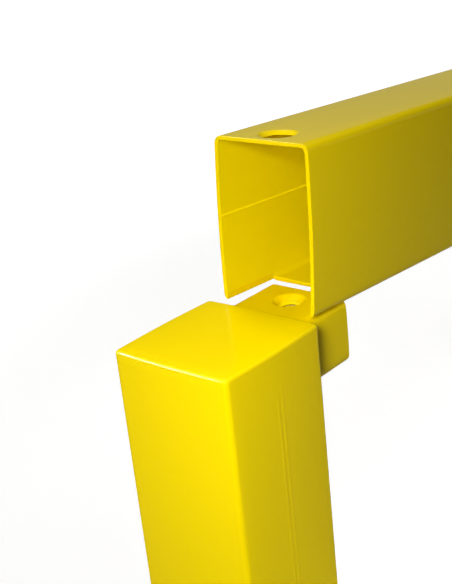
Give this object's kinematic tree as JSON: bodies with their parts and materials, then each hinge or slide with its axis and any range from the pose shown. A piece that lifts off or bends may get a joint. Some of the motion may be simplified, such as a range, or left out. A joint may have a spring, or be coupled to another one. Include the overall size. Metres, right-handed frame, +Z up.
{
  "type": "safety railing",
  "caption": "Bolt-down steel safety railing of square posts with welded stubs, and hollow notched rails that drop over them, with a top rail shown lifted off its near stub.",
  "frame": {"origin": "middle of the first post's base plate, on its underside at ground level", "axes": "+X along the railing from the first post to the last, +Y across it, +Z up"},
  "size_m": [4.2, 0.2, 1.1182],
  "materials": {
    "yellow_coat": "glossy powder coat",
    "nut_steel": "bare turned steel"
  },
  "bodies": {
    "posts": {"post_1_tube": "yellow_coat", "post_1_cap": "yellow_coat", "post_1_base": "yellow_coat", "post_2_tube": "yellow_coat", "post_2_cap": "yellow_coat", "post_2_base": "yellow_coat", "post_3_tube": "yellow_coat", "post_3_cap": "yellow_coat", "post_3_base": "yellow_coat", "bay_1_top_near_stub": "yellow_coat", "bay_1_top_far_stub": "yellow_coat", "bay_1_knee_near_stub": "yellow_coat", "bay_1_knee_far_stub": "yellow_coat", "bay_2_top_near_stub": "yellow_coat", "bay_2_top_far_stub": "yellow_coat", "bay_2_knee_near_stub": "yellow_coat", "bay_2_knee_far_stub": "yellow_coat", "bay_1_top_near_nut": "nut_steel", "bay_1_top_far_nut": "nut_steel", "bay_1_knee_near_nut": "nut_steel", "bay_1_knee_far_nut": "nut_steel", "bay_2_top_near_nut": "nut_steel", "bay_2_top_far_nut": "nut_steel", "bay_2_knee_near_nut": "nut_steel", "bay_2_knee_far_nut": "nut_steel", "bay_1_knee_rail": "yellow_coat", "bay_2_top_rail": "yellow_coat", "bay_2_knee_rail": "yellow_coat"},
    "lift_rail": {"bay_1_top_rail": "yellow_coat"}
  },
  "joints": [
    {"name": "rail_lift", "type": "hinge", "parent": "posts", "child": "lift_rail", "pos_m": [1.941, 0, 0.997], "axis": [0, 1, 0], "range_deg": [-3.6, 6.4]}
  ]
}
